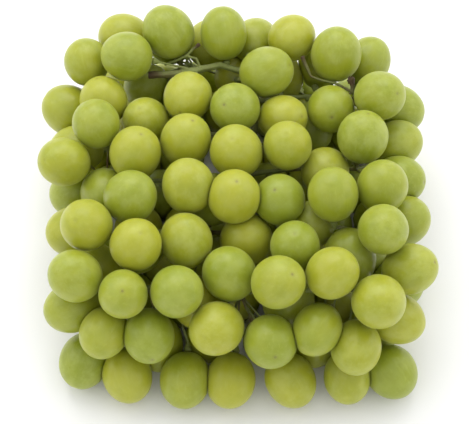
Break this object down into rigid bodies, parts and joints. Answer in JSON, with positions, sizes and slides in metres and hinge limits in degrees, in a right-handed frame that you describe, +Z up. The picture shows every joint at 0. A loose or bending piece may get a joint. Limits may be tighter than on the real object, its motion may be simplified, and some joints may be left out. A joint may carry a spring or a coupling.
{
  "type": "bunch of grapes",
  "caption": "Cut bunch of pale green seedless table grapes lying flat: oval berries crowded round a branched greenish brown stem.",
  "frame": {"origin": "on the surface the bunch lies on, under the middle of its bounding box", "axes": "+Z up from the surface, +Y away from the viewer towards the end with the cut stalk, +X to the viewer's right"},
  "size_m": [0.1864, 0.2006, 0.078],
  "materials": {
    "berry_skin": "thin smooth skin with a waxy bloom over translucent pale green flesh",
    "stem_wood": "matt, green to brown, dried out at the nodes"
  },
  "bodies": {
    "root": {"berry_01": "berry_skin", "berry_02": "berry_skin", "berry_03": "berry_skin", "berry_04": "berry_skin", "berry_05": "berry_skin", "berry_06": "berry_skin", "berry_07": "berry_skin", "berry_08": "berry_skin", "berry_09": "berry_skin", "berry_10": "berry_skin", "berry_11": "berry_skin", "berry_12": "berry_skin", "berry_13": "berry_skin", "berry_14": "berry_skin", "berry_15": "berry_skin", "berry_16": "berry_skin", "berry_17": "berry_skin", "berry_18": "berry_skin", "berry_19": "berry_skin", "berry_20": "berry_skin", "berry_21": "berry_skin", "berry_22": "berry_skin", "berry_23": "berry_skin", "berry_24": "berry_skin", "berry_25": "berry_skin", "berry_26": "berry_skin", "berry_27": "berry_skin", "berry_28": "berry_skin", "berry_29": "berry_skin", "berry_30": "berry_skin", "berry_31": "berry_skin", "berry_32": "berry_skin", "berry_33": "berry_skin", "berry_34": "berry_skin", "berry_35": "berry_skin", "berry_36": "berry_skin", "berry_37": "berry_skin", "berry_38": "berry_skin", "berry_39": "berry_skin", "berry_40": "berry_skin", "clump_01": "berry_skin", "clump_02": "berry_skin", "clump_03": "berry_skin", "clump_04": "berry_skin", "clump_05": "berry_skin", "clump_06": "berry_skin", "clump_07": "berry_skin", "clump_08": "berry_skin", "clump_09": "berry_skin", "clump_10": "berry_skin", "clump_11": "berry_skin", "clump_12": "berry_skin", "clump_13": "berry_skin", "clump_14": "berry_skin", "clump_15": "berry_skin", "clump_16": "berry_skin", "clump_17": "berry_skin", "clump_18": "berry_skin", "clump_19": "berry_skin", "stem": "stem_wood"}
  },
  "joints": []
}
